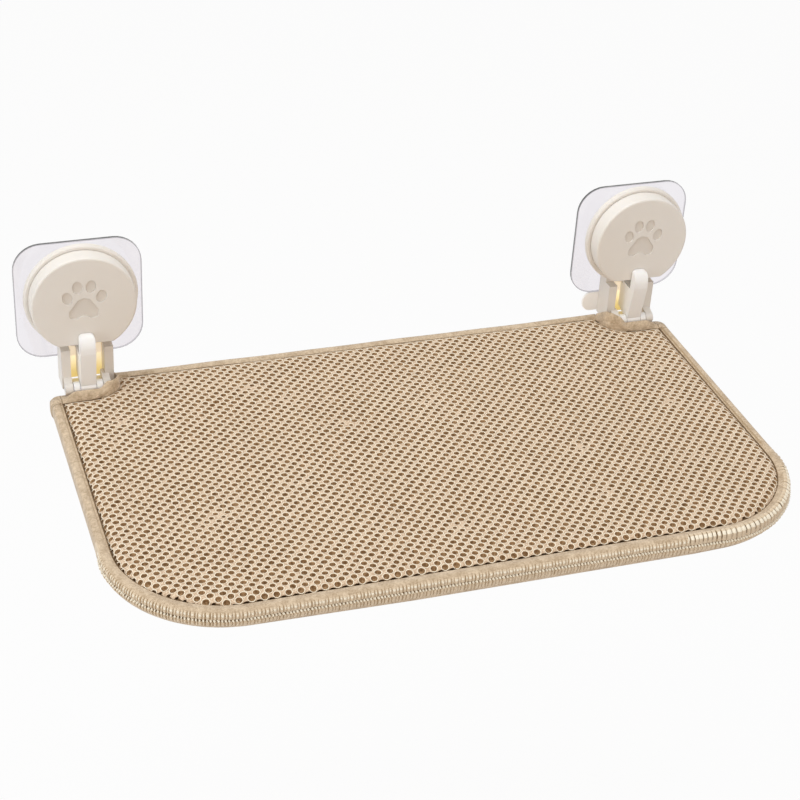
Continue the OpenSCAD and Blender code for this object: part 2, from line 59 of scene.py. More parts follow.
class Wire:
    """A socket of a finish. Sums and products written with it add the nodes that work them out."""

    def __init__(self, finish, socket):
        self.finish = finish
        self.socket = socket

    def maths(self, operation, *terms):
        return self.finish.node("ShaderNodeMath", {"operation": operation}, dict(enumerate(terms)))

    def __add__(self, other):
        return self.maths("ADD", self, other)

    def __radd__(self, other):
        return self.maths("ADD", other, self)

    def __sub__(self, other):
        return self.maths("SUBTRACT", self, other)

    def __rsub__(self, other):
        return self.maths("SUBTRACT", other, self)

    def __mul__(self, other):
        return self.maths("MULTIPLY", self, other)

    def __rmul__(self, other):
        return self.maths("MULTIPLY", other, self)

    def __abs__(self):
        return self.maths("ABSOLUTE", self)

    def larger(self, other):
        return self.maths("MAXIMUM", self, other)

    def root(self):
        return self.maths("SQRT", self)

    def step(self, low, high):
        """0 below low, 1 above high, and smooth between."""
        settings = {"interpolation_type": "SMOOTHSTEP"}
        return self.finish.node("ShaderNodeMapRange", settings, {0: self, 1: low, 2: high})


class Finish:
    """A material and the calls that build its nodes. fixed sets plain values on its main shader."""

    def __init__(self, name, **fixed):
        self.material = bpy.data.materials.new(name)
        self.material.use_nodes = True
        self.tree = self.material.node_tree
        self.shader = self.tree.nodes["Principled BSDF"]
        self.output = self.tree.nodes["Material Output"]
        for socket, value in fixed.items():
            self.shader.inputs[socket.replace("_", " ")].default_value = value

    def node(self, kind, settings=None, inputs=None, output=0):
        made = self.tree.nodes.new(kind)
        for name, value in (settings or {}).items():
            setattr(made, name, value)
        for name, value in (inputs or {}).items():
            if isinstance(value, Wire):
                self.tree.links.new(value.socket, made.inputs[name])
            else:
                made.inputs[name].default_value = value
        return Wire(self, made.outputs[output])

    def place(self):
        """Where a point of the surface is, in the row frame, in metres."""
        return self.node("ShaderNodeTexCoord", output="Object")

    def split(self, vector, part):
        return self.node("ShaderNodeSeparateXYZ", {}, {0: vector}, output=part)

    def stretched(self, x, y, z):
        return self.node("ShaderNodeVectorMath", {"operation": "MULTIPLY"}, {0: self.place(), 1: (x, y, z)})

    def noise(self, scale, detail=2.0, vector=None):
        inputs = {"Vector": vector or self.place(), "Scale": scale, "Detail": detail}
        return self.node("ShaderNodeTexNoise", {}, inputs)

    def mix(self, mask, low, high):
        return self.node("ShaderNodeMix", {"data_type": "RGBA"}, {0: mask, 6: low, 7: high}, output=2)

    def set(self, **wires):
        for socket, wire in wires.items():
            self.tree.links.new(wire.socket, self.shader.inputs[socket.replace("_", " ")])

    def bump(self, height, depth, edge=0.0):
        """Raises the surface by up to depth mm where height is 1, and rounds its edges by edge mm."""
        inputs = {"Height": height, "Distance": depth * MM, "Strength": 1.0}
        if edge:
            inputs["Normal"] = self.node("ShaderNodeBevel", {"samples": 6}, {"Radius": edge * MM})
        self.set(Normal=self.node("ShaderNodeBump", {}, inputs))

    def paint(self, *pieces):
        for piece in pieces:
            piece.data.materials.clear()
            piece.data.materials.append(self.material)


def shade(red, green, blue):
    """A colour as it is seen on a screen, 0 to 255, turned into the light that it stands for."""
    parts = [part / 255 for part in (red, green, blue)]
    return (*[part / 12.92 if part <= 0.04045 else ((part + 0.055) / 1.055) ** 2.4 for part in parts], 1.0)


def both(name):
    return [nodes[name + "_left"], nodes[name + "_right"]]


clear_vinyl = Finish("clear_vinyl", Transmission_Weight=1.0, IOR=1.46, Roughness=0.03,
                     Emission_Strength=0.1)
facing = clear_vinyl.node("ShaderNodeNewGeometry", output="True Normal")
side_wall = 1 - abs(clear_vinyl.split(facing, 1)).step(0.2, 0.8)
vinyl_x = clear_vinyl.split(clear_vinyl.place(), 0)
vinyl_z = clear_vinyl.split(clear_vinyl.place(), 2)
past_side = (abs(abs(vinyl_x) - PAD_X * MM) - PAD_STRAIGHT * MM).larger(0)
past_top = (abs(vinyl_z) - PAD_STRAIGHT * MM).larger(0)
corner_reach = (past_side * past_side + past_top * past_top).root()
rounded_rim = corner_reach.step((PAD_CORNER_R - 1.1) * MM, (PAD_CORNER_R - 0.4) * MM)
painted_edge_shade_and_glow = rounded_rim.larger(side_wall)
vinyl_cloud = clear_vinyl.noise(38.0, 3.0)
vinyl_body = clear_vinyl.mix(vinyl_cloud, shade(238, 235, 239), shade(245, 242, 246))
# The rim and cut edge are painted grey as shade, and glow white with painted light.
clear_vinyl.set(Base_Color=clear_vinyl.mix(painted_edge_shade_and_glow, vinyl_body, shade(142, 138, 143)))
clear_vinyl.set(Emission_Color=clear_vinyl.mix(painted_edge_shade_and_glow, shade(0, 0, 0), shade(255, 255, 255)))
clear_vinyl.bump(clear_vinyl.noise(90.0, 2.0), 0.08)
clear_vinyl.paint(*both("pad"))


# The moulded brackets and their knobs are cream ABS with a fine satin texture. Each round housing
# carries its knob on a spigot, and its two legs run down to the hinge. The knob's paw print is sunk.

# How far a knob's face stands from the window, how deep its paw print is sunk, and where that lies.
KNOB_REACH = 28.3
PAW_DEPTH = 1.2
PAW_RISE = 8.4
PAW_HALF_W = 19.5
PAW_HALF_H = 23.0
# Middle and half width of the space between the legs, and how far its back wall and top are.
LEGS_X = 233.6
LEGS_HALF_GAP = 13.3
WALL_REACH = 11.0
HOUSING_DROP = -31.0
# How far light spreads inside the moulded plastics, in metres of red, green and blue.
PLASTIC_SCATTER = (0.004, 0.003, 0.002)

cream_plastic = Finish("cream_plastic", Emission_Strength=0.7, Subsurface_Weight=0.06,
                       Subsurface_Radius=PLASTIC_SCATTER)
cream_x = abs(cream_plastic.split(cream_plastic.place(), 0))
cream_y = cream_plastic.split(cream_plastic.place(), 1)
cream_z = cream_plastic.split(cream_plastic.place(), 2)
cream_tone = cream_plastic.mix(cream_plastic.noise(30.0, 3.0), shade(231, 224, 215), shade(235, 229, 221))
behind_face = cream_y + KNOB_REACH * MM
paw_floor_shade = behind_face.step((PAW_DEPTH - 0.4) * MM, (PAW_DEPTH - 0.1) * MM)
paw_floor_shade = paw_floor_shade * (1 - behind_face.step((PAW_DEPTH + 0.9) * MM, (PAW_DEPTH + 1.1) * MM))
across_paw = abs(cream_x - PAD_X * MM).step((PAW_HALF_W - 0.5) * MM, (PAW_HALF_W + 0.5) * MM)
up_paw = abs(cream_z - PAW_RISE * MM).step((PAW_HALF_H - 1.0) * MM, (PAW_HALF_H + 1.0) * MM)
paw_floor_shade = paw_floor_shade * (1 - across_paw) * (1 - up_paw)
# The paw print's sunk floor is painted a little darker, as shade in the recess.
cream_tone = cream_plastic.mix(paw_floor_shade, cream_tone, shade(224, 216, 206))
# The recesses behind the knob's face are painted with warm shade where little light reaches them.
open_sky = cream_plastic.node("ShaderNodeAmbientOcclusion", {"only_local": True, "samples": 8},
                              {"Distance": 2.0 * MM}, output="AO")
past_paw = behind_face.step((PAW_DEPTH + 0.9) * MM, (PAW_DEPTH + 1.9) * MM)
open_sky = 1 - (1 - open_sky.step(0.45, 0.8)) * past_paw
cream_plastic.set(Base_Color=cream_plastic.mix(open_sky, shade(200, 187, 170), cream_tone))
# A painted glow on the wall between the legs stands for daylight coming through it.
from_gap = abs(cream_x - LEGS_X * MM)
painted_glow_between_legs = 1 - from_gap.step((LEGS_HALF_GAP - 0.3) * MM, (LEGS_HALF_GAP + 0.1) * MM)
painted_glow_between_legs = painted_glow_between_legs * (1 - cream_z.step((HOUSING_DROP - 1.0) * MM, (HOUSING_DROP + 1.0) * MM))
painted_glow_between_legs = painted_glow_between_legs * cream_y.step(-(WALL_REACH + 0.8) * MM, -(WALL_REACH + 0.2) * MM)
cream_plastic.set(Emission_Color=cream_plastic.mix(painted_glow_between_legs, shade(0, 0, 0), shade(214, 196, 166)))
cream_plastic.set(Roughness=0.36 + cream_plastic.noise(260.0, 3.0) * 0.14)
cream_plastic.bump(cream_plastic.noise(1500.0, 2.0), 0.03, edge=0.7)
cream_plastic.paint(*both("bracket"), *both("knob"))


# The straps down the middle of the brackets and the arms that carry the bed are moulded in a whiter
# plastic, and the pullers and slip rings too. Screws hold the straps, and pins the arms.

white_plastic = Finish("white_plastic", Subsurface_Weight=0.06, Subsurface_Radius=PLASTIC_SCATTER)
white_cloud = white_plastic.noise(30.0, 3.0)
white_plastic.set(Base_Color=white_plastic.mix(white_cloud, shade(247, 245, 242), shade(251, 249, 247)))
white_plastic.set(Roughness=0.34 + white_plastic.noise(260.0, 3.0) * 0.14)
white_plastic.bump(white_plastic.noise(1500.0, 2.0), 0.03, edge=0.7)
white_plastic.paint(*both("strap"), *both("hinge_arm"), *both("puller"), *both("glide_washer"))


# A soft foot between the legs bears on the window below the pad. Its middle is amber gel, painted paler
# towards the top as light and given a painted glow, and the flange beside the right mount's leg is pale.

# Heights between which the gel's painted light turns from deep amber to pale, and where the flange begins,
# behind the inner leg, in mm.
GEL_DEEP = -67.0
GEL_PALE = -47.0
FLANGE_X = 215.5

amber_gel = Finish("amber_gel", Roughness=0.3, IOR=1.45, Emission_Strength=0.5)
painted_light_rise = amber_gel.split(amber_gel.place(), 2).step(GEL_DEEP * MM, GEL_PALE * MM)
amber_painted_light = amber_gel.mix(painted_light_rise, shade(238, 214, 140), shade(252, 242, 210))
on_flange = (FLANGE_X * MM - abs(amber_gel.split(amber_gel.place(), 0))).step(0.0, 1.5 * MM)
amber_gel.set(Base_Color=amber_gel.mix(on_flange, amber_painted_light, shade(246, 243, 239)))
# The gel and the flange glow with painted light.
amber_gel.set(Emission_Color=amber_gel.mix(on_flange, amber_painted_light, shade(124, 122, 119)))
amber_gel.bump(amber_gel.noise(120.0, 2.0), 0.2)
amber_gel.paint(*both("bumper"))


# The hinge pins, the cross pins and the straps' screws are turned steel with fine lathe lines. A
# hinge pin runs through all five knuckles, and a cross pin through the end of its puller.

turned_steel = Finish("turned_steel", Metallic=1.0)
lathe_lines = turned_steel.noise(900.0, 2.0, turned_steel.stretched(6.0, 0.2, 0.2))
turned_steel.set(Base_Color=turned_steel.mix(lathe_lines, shade(186, 187, 190), shade(214, 215, 218)))
turned_steel.set(Roughness=0.36 + lathe_lines * 0.2)
turned_steel.paint(*both("hinge_pin"), *both("cross_pin"), *both("strap_screws"))


# The bed's frame is a powder-coated steel tube, bent round the front and plugged into the sockets of
# the two arms, with a straight bar behind from arm to arm.


def mottled(name, scale, detail, depth, dark, pale, **fixed):
    """A finish that runs from dark to pale with one noise, which raises it by up to depth mm too."""
    finish = Finish(name, **fixed)
    mottle = finish.noise(scale, detail)
    finish.set(Base_Color=finish.mix(mottle, shade(*dark), shade(*pale)))
    finish.bump(mottle, depth)
    return finish


coated_tube = mottled("coated_tube", 700.0, 3.0, 0.06, (206, 204, 200), (224, 223, 220), Roughness=0.5)
coated_tube.paint(nodes["frame_tube"], nodes["back_bar"])


# A slab of open foam fills the bed's frame, cut to the frame's inside and held between the knit above
# and the cloth below.

# The bed's outline in plan, in mm: half its width, its front and back, the radius of its front corners,
# the place and radius of a notch, and the radii of the tab outside it and of the corner inside it.
HALF_W = 266.0
FRONT_Y = -324.0
BACK_Y = -3.0
CORNER_R = 88.0
NOTCH_X = 216.5
NOTCH_Y = -24.5
NOTCH_R = 16.0
TAB_R = 8.0
BACK_CORNER_R = 5.0
SMALLEST_R = 0.6
# Section of the slab's edge, from the bottom up: distance in from the bed's edge, and height. The counts
# are the points along each run of the outline.
SLAB_SECTION = [(14.5, -84.8), (11.4, -83.2), (11.4, -77.6), (13.0, -75.6), (17.0, -74.6)]
SLAB_COUNTS = (30, 4, 2, 10, 10, 3, 30, 24, 40)


def straight(start, end, count):
    share = np.linspace(0, 1, count, endpoint=False)[:, None]
    return np.asarray(start) * (1 - share) + np.asarray(end) * share


def curved(x, y, radius, first, last, count):
    turn = np.radians(np.linspace(first, last, count, endpoint=False))
    return np.stack([x + radius * np.cos(turn), y + radius * np.sin(turn)], 1)


def bed_edge(inset, counts, broad=0.0, hollow=None):
    """The right half of the bed's outline, set in by inset mm, in nine runs from the middle of the back
    to the middle of the front. counts holds the points of each run, so two insets match point for point.
    broad moves the notch so far forward, and a little outward. hollow is the notch's radius, where it
    isn't the bed's own."""
    side, front, back = HALF_W - inset, FRONT_Y + inset, BACK_Y - inset
    notch_x, notch_y = NOTCH_X - inset + broad * 0.2, NOTCH_Y - inset - broad
    hollow = hollow or NOTCH_R + inset
    corner = max(BACK_CORNER_R - inset, SMALLEST_R)
    tab = max(TAB_R - inset, SMALLEST_R)
    bend = CORNER_R - inset
    turn = math.asin(max(0.0, notch_y + hollow - back + corner) / hollow)
    turned_x = notch_x + hollow * (1 - math.cos(turn))
    turned_y = notch_y + hollow * (1 - math.sin(turn))
    degrees = math.degrees(turn)
    return [
        straight((0, back), (turned_x - corner, back), counts[0]),
        curved(turned_x - corner, back - corner, corner, 90, 0, counts[1]),
        straight((turned_x, back - corner), (turned_x, turned_y), counts[2]),
        curved(notch_x + hollow, notch_y + hollow, hollow, 180 + degrees, 270, counts[3]),
        straight((notch_x + hollow, notch_y), (side - tab, notch_y), counts[4]),
        curved(side - tab, notch_y - tab, tab, 90, 0, counts[5]),
        straight((side, notch_y - tab), (side, front + bend), counts[6]),
        curved(side - bend, front + bend, bend, 0, -90, counts[7]),
        straight((side - bend, front), (0, front), counts[8]),
    ]


def whole_ring(inset, z, counts):
    right = np.concatenate(bed_edge(inset, counts))
    left = right[:0:-1] * (-1, 1)
    ring = np.concatenate([right, left])
    return np.column_stack([ring, np.full(len(ring), z)])


def lofted(rings, size, closed_ring, closed_loft, first=0):
    """Quads between rings of size points each, where ring k holds points first + k * size and on."""
    faces = []
    for k in range(rings if closed_loft else rings - 1):
        here, after = first + k * size, first + (k + 1) % rings * size
        for i in range(size if closed_ring else size - 1):
            j = (i + 1) % size
            faces.append((here + i, after + i, after + j, here + j))
    return faces


def mesh_piece(name, points, faces, finish, smooth=True, slots=None, extra=(), closed=False):
    """A mesh from points in mm. slots holds a material number for each face, and extra the finishes
    after the first. A closed mesh gets its faces turned outward."""
    data = bpy.data.meshes.new(name)
    data.from_pydata((np.asarray(points) * MM).tolist(), [], [tuple(face) for face in faces])
    data.validate()
    if closed:
        shell = bmesh.new()
        shell.from_mesh(data)
        bmesh.ops.recalc_face_normals(shell, faces=shell.faces[:])
        shell.to_mesh(data)
        shell.free()
    piece = bpy.data.objects.new(name, data)
    bpy.context.scene.collection.objects.link(piece)
    for each in (finish, *extra):
        data.materials.append(each.material)
    if slots is not None:
        data.polygons.foreach_set("material_index", np.asarray(slots, np.int32))
    data.polygons.foreach_set("use_smooth", np.full(len(data.polygons), smooth))
    data.update()
    return piece


open_foam = mottled("open_foam", 900.0, 3.0, 0.4, (176, 150, 116), (206, 184, 150), Roughness=0.95)

slab_rings = [whole_ring(inset, z, SLAB_COUNTS) for inset, z in SLAB_SECTION]
slab_size = len(slab_rings[0])
slab_faces = lofted(len(slab_rings), slab_size, True, False)
slab_faces.append(tuple(range(slab_size))[::-1])
slab_faces.append(tuple(range((len(slab_rings) - 1) * slab_size, len(slab_rings) * slab_size)))
foam_slab = mesh_piece("foam_slab", np.concatenate(slab_rings), slab_faces, open_foam, smooth=False,
                       closed=True)
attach(foam_slab, "bed")
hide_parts("foam_core")


# A sleeve of the same foam is slipped over the tube, from one arm's socket round the front to the
# other. It gives the bed its soft edge under the tape.

TUBE_INSET = 6.3
TUBE_Z = -78.4
# Half the sleeve's width and height, the radius of its bore, and where it ends behind.
SLEEVE_HALF_W = 4.1
SLEEVE_HALF_H = 5.2
SLEEVE_BORE_R = 4.0
SLEEVE_BACK_Y = -71.0
SLEEVE_SIDES = 24
SLEEVE_STEPS = 20

around = np.linspace(0, 2 * math.pi, SLEEVE_SIDES + 1)[:-1]
sleeve_section = [(TUBE_INSET - SLEEVE_HALF_W * math.cos(turn), TUBE_Z + SLEEVE_HALF_H * math.sin(turn))
                  for turn in around]
sleeve_section += [(TUBE_INSET - SLEEVE_BORE_R * math.cos(turn), TUBE_Z + SLEEVE_BORE_R * math.sin(turn))
                   for turn in around]
sleeve_rings = []
for inset, z in sleeve_section:
    right = np.concatenate(bed_edge(inset, (2, 2, 2, 2, 2, 2, SLEEVE_STEPS, 40, 40))[6:])
    side_end = right[SLEEVE_STEPS, 1]
    right[:SLEEVE_STEPS, 1] = np.linspace(SLEEVE_BACK_Y, side_end, SLEEVE_STEPS, endpoint=False)
    line = np.concatenate([right, right[::-1] * (-1, 1)])
    sleeve_rings.append(np.column_stack([line, np.full(len(line), z)]))
run = len(sleeve_rings[0])
bore_start = SLEEVE_SIDES * run
sleeve_faces = lofted(SLEEVE_SIDES, run, False, True) + lofted(SLEEVE_SIDES, run, False, True, bore_start)
for i in range(SLEEVE_SIDES):
    here, after = i * run, (i + 1) % SLEEVE_SIDES * run
    for end in (0, run - 1):
        sleeve_faces.append((here + end, after + end, bore_start + after + end, bore_start + here + end))
foam_sleeve = mesh_piece("foam_sleeve", np.concatenate(sleeve_rings), sleeve_faces, open_foam, closed=True)
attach(foam_sleeve, "bed")
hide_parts("edge_padding")


# The lying surface is a knitted spacer mesh: a sheet with round holes in staggered rows, whose raised
# rims are bound by the same yarn, pulled down steeply into the seam with the edge tape all round.

# Steps along the two slanting rows of holes, the middle of one hole, and how many steps are tried.
HOLE_STEP_A = np.array([3.9, 4.05])
HOLE_STEP_B = np.array([4.8, -4.05])
FIRST_HOLE = np.array([0.0, -166.1])
ROW_SPAN = 90
# Rings of a hole from its rim down: radius, and depth under the surface.
HOLE_RINGS = [(2.8, -0.5), (2.28, -0.3), (2.1, 0.9), (1.85, 2.1)]
HOLE_FLOOR = 1.9
CELL_SIDES = 12
# The seam with the tape: its inset, its height, and how much further forward it passes a notch.
SEAM_INSET = 10.0
SEAM_Z = -73.3
NOTCH_BROAD = 5.0
# Over this much cloth from the seam the knit rolls up to its level height.
ROLL = 10.5
# Where the arms' sockets for the tube lie close under the cloth, and how high they reach.
SOCKET_X = 251.5
SOCKET_Y = (-45.5, -72.0)
SOCKET_TOP = -73.4
# Middle of the place before each mount where the hinge arm's tongue holds the bed down, how far that
# reaches, and distances from it and from the seam over which the swell of the knit sets in.
TONGUE_Y = -55.0
TONGUE_REACH = 34.0
SWELL_PAST_TONGUE = (30.0, 90.0)
SWELL_PAST_SEAM = (4.0, 34.0)
# In front of FRONT_ROWS_Y the seam cuts cells, and past CORNER_X the corners' seam does. Cloth lower
# above the seam than these heights is painted with its shade, in front of SEAM_FRONT_Y and elsewhere.
FRONT_ROWS_Y = -290.0
CORNER_X = 185.0
SEAM_FRONT_Y = -250.0
SEAM_SHADE = (0.7, 1.15)


def waves(points, lengths, seed):
    """A smooth, repeatable field between about -1 and 1, the sum of sine waves whose lengths are in mm."""
    phases = np.random.default_rng(seed)
    total = np.zeros(len(points))
    for length in lengths:
        for _ in range(3):
            turn, start = phases.uniform(0, 2 * math.pi, 2)
            across = points[:, 0] * math.cos(turn) + points[:, 1] * math.sin(turn)
            total += np.sin(across * 2 * math.pi / length + start)
    return total / (3 * len(lengths)) * 1.5


def from_seam(points):
    """Distance of plan points inside the seam line, negative outside it, and the direction inward."""
    line = np.concatenate(bed_edge(SEAM_INSET, (60, 4, 2, 12, 12, 4, 60, 40, 60), NOTCH_BROAD))
    line = np.concatenate([line, line[::-1] * (-1, 1)])
    pieces = np.roll(line, -1, 0) - line
    size = (pieces ** 2).sum(1) + 1e-12
    inward = np.stack([pieces[:, 1], -pieces[:, 0]], 1) / np.sqrt(size)[:, None]
    distance = np.full(len(points), 1e9)
    normal = np.zeros((len(points), 2))
    signed = np.zeros(len(points))
    for k in range(len(line)):
        if size[k] < 1e-6:
            continue
        offset = points - line[k]
        share = np.clip((offset @ pieces[k]) / size[k], 0, 1)
        away = np.sqrt(((offset - share[:, None] * pieces[k]) ** 2).sum(1))
        nearer = away < distance - 1e-9
        distance[nearer] = away[nearer]
        normal[nearer] = inward[k]
        signed[nearer] = (offset @ inward[k])[nearer]
    return np.where(signed >= 0, distance, -distance), normal


# How the knit rolls over towards its seam: its slope, and where that brings it, by the length of cloth
# from the seam.
cloth = np.linspace(-6, 12, 361)
slope = np.radians(np.interp(cloth, [0, 2.5, 6.5, ROLL], [78, 38, 15, 0]))
roll_in = np.cumsum(np.cos(slope)) * (cloth[1] - cloth[0])
roll_up = np.cumsum(np.sin(slope)) * (cloth[1] - cloth[0])
roll_in -= np.interp(0, cloth, roll_in)
roll_up -= np.interp(0, cloth, roll_up)
spare_cloth = ROLL - np.interp(ROLL, cloth, roll_in)


def draped(flat, depth):
    """Puts points of the flat knit on the bed, where they roll down into the seam. A point with a depth
    lies so much under the surface, along the surface's own normal."""
    plan = flat + 0.35 * np.stack([waves(flat, (60, 31), 3), waves(flat, (70, 27), 4) * 0.6], 1)
    reach, inward = from_seam(plan)
    length = reach + spare_cloth
    rolled = length < ROLL
    turn = np.where(rolled, np.interp(length, cloth, slope), 0)
    shift = np.where(rolled, np.interp(length, cloth, roll_in) - reach, 0)
    height = np.interp(length, cloth, roll_up)
    swell = 0.5 * waves(plan, (230, 120), 7) * np.interp(reach, SWELL_PAST_SEAM, (0, 1))
    past_tongue = np.hypot(abs(plan[:, 0]) - PAD_X, plan[:, 1] - TONGUE_Y)
    swell = swell * np.interp(past_tongue, SWELL_PAST_TONGUE, (0, 1))
    swell = swell - 0.6 * np.exp(-(past_tongue / TONGUE_REACH) ** 2)
    place = plan + inward * (shift + np.sin(turn) * depth)[:, None]
    z = SEAM_Z + height + swell - np.cos(turn) * depth
    over_socket = (abs(place[:, 0]) > SOCKET_X) & (place[:, 1] < SOCKET_Y[0]) & (place[:, 1] > SOCKET_Y[1])
    return np.column_stack([place, np.where(over_socket, np.maximum(z, SOCKET_TOP), z)])


# The knit's own yarn, the yarn round its holes, the pile inside them, painted dark brown as the shade
# in the holes, and the painted shade in the seam, which are the mesh's four materials in this order.
knit_yarn = Finish("knit_yarn", Roughness=0.85, Sheen_Weight=0.25, Sheen_Roughness=0.5)
knit_twist = knit_yarn.noise(800.0, 3.0)
knit_mottle = knit_twist.step(0.38, 0.62) * 0.7 + knit_yarn.noise(14.0, 2.0) * 0.3
knit_yarn.set(Base_Color=knit_yarn.mix(knit_mottle, shade(190, 160, 130), shade(240, 217, 188)))
knit_yarn.bump(knit_twist, 0.35)
rim_yarn = mottled("rim_yarn", 1100.0, 2.0, 0.2, (246, 230, 203), (255, 246, 226),
                   Roughness=0.8, Sheen_Weight=0.25, Sheen_Roughness=0.5)
# The pile is painted dark brown as the shade down in the holes, streaked with its yarn.
pile_yarn_painted_shade = Finish("pile_yarn_painted_shade", Roughness=0.95)
pile_lines = pile_yarn_painted_shade.noise(520.0, 3.0, pile_yarn_painted_shade.stretched(1.0, 1.0, 0.35))
pile_mask = pile_lines.step(0.3, 0.7)
pile_yarn_painted_shade.set(Base_Color=pile_yarn_painted_shade.mix(pile_mask, shade(138, 106, 70), shade(192, 158, 118)))
pile_yarn_painted_shade.bump(pile_lines, 0.4)
seam_painted_shade = mottled("seam_painted_shade", 600.0, 2.0, 0.2, (92, 68, 42), (124, 96, 64), Roughness=0.95)
YARN, RIM, PILE_SHADE, SEAM = range(4)

centres, index = [], []
for a in range(-ROW_SPAN, ROW_SPAN + 1):
    for b in range(-ROW_SPAN, ROW_SPAN + 1):
        centre = HOLE_STEP_A * a + HOLE_STEP_B * b + FIRST_HOLE
        if abs(centre[0]) < HALF_W - 4 and FRONT_Y + 4 < centre[1] < 0:
            centres.append(centre)
            index.append((a, b))
centres, index = np.array(centres), np.array(index)
reach, _ = from_seam(centres)
kept = reach > -spare_cloth - 4.5
centres, index, reach = centres[kept], index[kept], reach[kept]
holes = len(centres)
# Twelve points round each cell: its corners lie between four holes, and two more points divide each side.
corner_steps = np.array([(1, 1), (1, -1), (-1, -1), (-1, 1)], float)
rim_steps = []
for k in range(4):
    start, end = corner_steps[k], corner_steps[(k + 1) % 4]
    for share in range(3):
        rim_steps.append(start + (end - start) * share / 3)
rim_steps = np.array(rim_steps)
# Neighbouring cells share these points. A key counts them in sixths of a step, to find each only once.
keys = np.rint(index[:, None, :] * 6 + rim_steps[None] * 3).astype(np.int64).reshape(-1, 2)
shared_keys, cell_points = np.unique(keys, axis=0, return_inverse=True)
cell_points = cell_points.reshape(holes, CELL_SIDES)
web_flat = shared_keys[:, :1] / 6 * HOLE_STEP_A + shared_keys[:, 1:] / 6 * HOLE_STEP_B + FIRST_HOLE
first_x, first_y = rim_steps[0, 0] * HOLE_STEP_A + rim_steps[0, 1] * HOLE_STEP_B
angles = math.atan2(first_y, first_x) + np.arange(CELL_SIDES) * 2 * math.pi / CELL_SIDES
wheel = np.stack([np.cos(angles), np.sin(angles)], 1)
rng = np.random.default_rng(11)
squeeze = 1 + 0.03 * rng.standard_normal(holes)
drift = 0.1 * rng.standard_normal((holes, 2))
oval = (1.06, 0.94) + 0.035 * rng.standard_normal((holes, 2))
# In a few small patches the knit is pulled together and its holes are narrower.
for _ in range(22):
    patch = np.array([rng.uniform(-240, 240), rng.uniform(-300, -30)])
    near = np.exp(-(np.hypot(*(centres - patch).T * np.array([[1], [1.5]])) / 7.5) ** 2)
    squeeze = squeeze * (1 - near * rng.uniform(0, 0.55, holes))
    drift = drift + near[:, None] * 0.7 * rng.standard_normal((holes, 2))
# The cells that the front seam cuts have no hole, only a shallow fold between two rims, painted dark as
# shade.
cut = (centres[:, 1] < FRONT_ROWS_Y) & (reach + spare_cloth < 1.4)
squeeze[cut] = 1.0
oval[cut] = (0.93, 0.4)
oval[cut & (abs(centres[:, 0]) > CORNER_X)] = (0.6, 0.36)
drift[cut] = (0.0, 1.4)

knit_points = [draped(web_flat, 0.0)]
for radius, depth in HOLE_RINGS:
    flat = (centres + drift)[:, None] + wheel[None] * radius * squeeze[:, None, None] * oval[:, None, :]
    knit_points.append(draped(flat.reshape(-1, 2), depth))
knit_points.append(draped(centres + drift, HOLE_FLOOR))
knit_points = np.concatenate(knit_points)
ring_points = np.arange(holes * CELL_SIDES).reshape(holes, CELL_SIDES)
levels = [cell_points]
for k in range(len(HOLE_RINGS)):
    levels.append(len(shared_keys) + k * holes * CELL_SIDES + ring_points)
knit_faces, knit_slots = [], []
for k, slot in enumerate((YARN, RIM, PILE_SHADE, PILE_SHADE)):
    outer, inner = levels[k], levels[k + 1]
    for i in range(CELL_SIDES):
        j = (i + 1) % CELL_SIDES
        knit_faces.append(np.stack([outer[:, i], outer[:, j], inner[:, j], inner[:, i]], 1))
        knit_slots.append(np.where(cut & (k > 0), SEAM, slot))
# The cloth between the rims is painted with deep shade where it dives into the seam.
low_edge = SEAM_Z + np.where(centres[:, 1] < SEAM_FRONT_Y, *SEAM_SHADE)
for i in range(CELL_SIDES):
    ends = knit_points[cell_points[:, i], 2] + knit_points[cell_points[:, (i + 1) % CELL_SIDES], 2]
    knit_slots[i][ends / 2 < low_edge] = SEAM
hubs = len(shared_keys) + len(HOLE_RINGS) * holes * CELL_SIDES + np.arange(holes)
floors = []
for i in range(CELL_SIDES):
    floors.append(np.stack([levels[-1][:, i], levels[-1][:, (i + 1) % CELL_SIDES], hubs], 1))
    knit_slots.append(np.where(cut, SEAM, PILE_SHADE))
knit_mesh = mesh_piece("knit_mesh", knit_points,
                       [*np.concatenate(knit_faces).tolist(), *np.concatenate(floors).tolist()], knit_yarn,
                       slots=np.concatenate(knit_slots), extra=(rim_yarn, pile_yarn_painted_shade, seam_painted_shade))
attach(knit_mesh, "bed")
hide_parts("mesh_top")


# One tape of woven cotton is folded over the padded edge along the sides and round the front. It is
# sewn down to the mesh on top, and its front carries two rows of ribs with a row of beads between.

